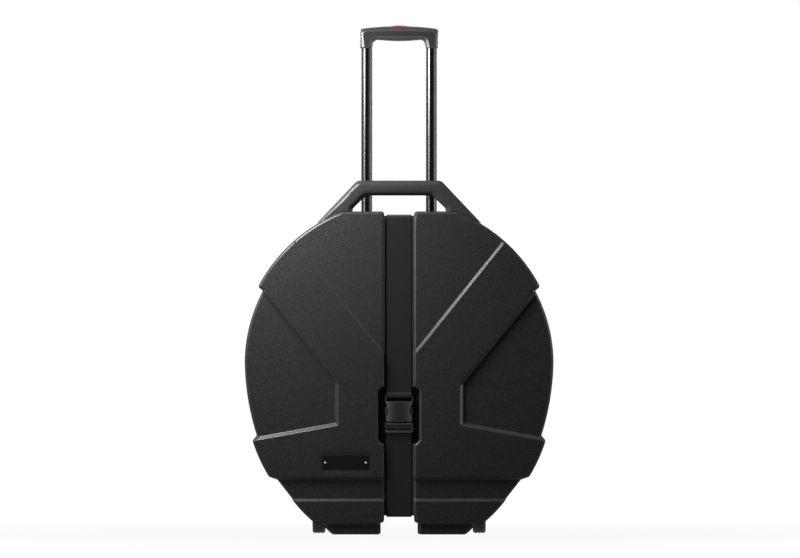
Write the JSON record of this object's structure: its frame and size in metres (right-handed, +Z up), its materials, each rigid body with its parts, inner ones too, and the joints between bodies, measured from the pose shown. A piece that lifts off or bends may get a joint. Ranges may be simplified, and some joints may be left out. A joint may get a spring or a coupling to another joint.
{
  "type": "wheeled cymbal case",
  "caption": "Round moulded cymbal case with a strap and buckle, a moulded carry handle, a pull-out tow handle and wheels.",
  "frame": {"origin": "on the floor, under the middle of the case", "axes": "+X to the right seen from the lid, +Y towards the back, +Z up; the lid faces -Y"},
  "size_m": [0.619, 0.2008, 1.0206],
  "materials": {
    "shell_plastic": "pebbled satin black polyethylene",
    "webbing": "black woven polypropylene webbing",
    "buckle_plastic": "satin black acetal",
    "hardware_plastic": "satin black nylon",
    "grip_plastic": "satin black",
    "tube_paint": "gloss black",
    "button_plastic": "red",
    "tread": "matt black",
    "foam": "charcoal foam",
    "felt": "grey felt",
    "plate": "bare gloss black",
    "steel": "zinc plated"
  },
  "bodies": {
    "case_base": {"rear_shell": "shell_plastic", "base_pad": "foam", "strap_back": "webbing", "fixed_tube_left": "steel", "fixed_tube_right": "steel", "tube_collar_left": "hardware_plastic", "tube_collar_right": "hardware_plastic", "tube_foot_left": "hardware_plastic", "tube_foot_right": "hardware_plastic", "tube_collar_screw_inner_left": "steel", "tube_collar_screw_inner_right": "steel", "tube_collar_screw_outer_left": "steel", "tube_collar_screw_outer_right": "steel", "tube_foot_screw_inner_left": "steel", "tube_foot_screw_inner_right": "steel", "tube_foot_screw_outer_left": "steel", "tube_foot_screw_outer_right": "steel", "axle_left": "steel", "axle_right": "steel", "axle_washer_left": "steel", "axle_washer_right": "steel", "axle_nut_left": "steel", "axle_nut_right": "steel", "center_post": "steel", "post_sleeve": "hardware_plastic", "post_felt": "felt"},
    "lid": {"front_shell": "shell_plastic", "lid_pad": "foam", "strap_upper": "webbing", "strap_lower": "webbing", "buckle_socket": "buckle_plastic", "buckle_plug": "buckle_plastic", "name_plate": "plate", "plate_rivet_left": "steel", "plate_rivet_right": "steel"},
    "prong_left": {"buckle_prong_left": "buckle_plastic"},
    "prong_right": {"buckle_prong_right": "buckle_plastic"},
    "tow_handle": {"handle_tube_left": "tube_paint", "handle_tube_right": "tube_paint", "tube_bush_left": "hardware_plastic", "tube_bush_right": "hardware_plastic", "grip": "grip_plastic", "grip_screw_left": "steel", "grip_screw_right": "steel", "lock_pin_left": "steel", "lock_pin_right": "steel", "button_spring": "steel"},
    "release": {"release_button": "button_plastic", "push_yoke": "hardware_plastic", "push_rod_left": "steel", "push_rod_right": "steel"},
    "wheel_left": {"wheel_tyre_left": "tread", "wheel_hub_left": "hardware_plastic"},
    "wheel_right": {"wheel_tyre_right": "tread", "wheel_hub_right": "hardware_plastic"},
    "wing": {"wing_nut": "steel"}
  },
  "joints": [
    {"name": "lid_lift", "type": "slide", "parent": "case_base", "child": "lid", "axis": [0, -1, 0], "range_m": [0, 0.06]},
    {"name": "tow_handle_slide", "type": "slide", "parent": "case_base", "child": "tow_handle", "axis": [0, 0, 1], "range_m": [-0.318, 0]},
    {"name": "button_press", "type": "slide", "parent": "tow_handle", "child": "release", "axis": [0, 0, -1], "range_m": [0, 0.004], "stiffness_N_per_m": 1500, "springref_m": -0.002, "deforming": ["button_spring"]},
    {"name": "prong_right_squeeze", "type": "hinge", "parent": "lid", "child": "prong_right", "pos_m": [0.01893, -0.0893, 0.2228], "axis": [0, -1, 0], "range_deg": [0, 5], "stiffness_Nm_per_rad": 0.5},
    {"name": "prong_left_squeeze", "type": "hinge", "parent": "lid", "child": "prong_left", "pos_m": [-0.01893, -0.0893, 0.2228], "axis": [0, 1, 0], "range_deg": [0, 5], "stiffness_Nm_per_rad": 0.5},
    {"name": "wheel_left_spin", "type": "hinge", "parent": "case_base", "child": "wheel_left", "pos_m": [-0.161, 0.064, 0.034], "axis": [1, 0, 0], "continuous": true},
    {"name": "wheel_right_spin", "type": "hinge", "parent": "case_base", "child": "wheel_right", "pos_m": [0.161, 0.064, 0.034], "axis": [1, 0, 0], "continuous": true},
    {"name": "wing_nut_spin", "type": "hinge", "parent": "case_base", "child": "wing", "pos_m": [0, 0.036, 0.335], "axis": [0, 1, 0], "continuous": true}
  ],
  "couplings": [
    {"joint": "prong_left_squeeze", "follows": "prong_right_squeeze", "ratio": 1}
  ]
}
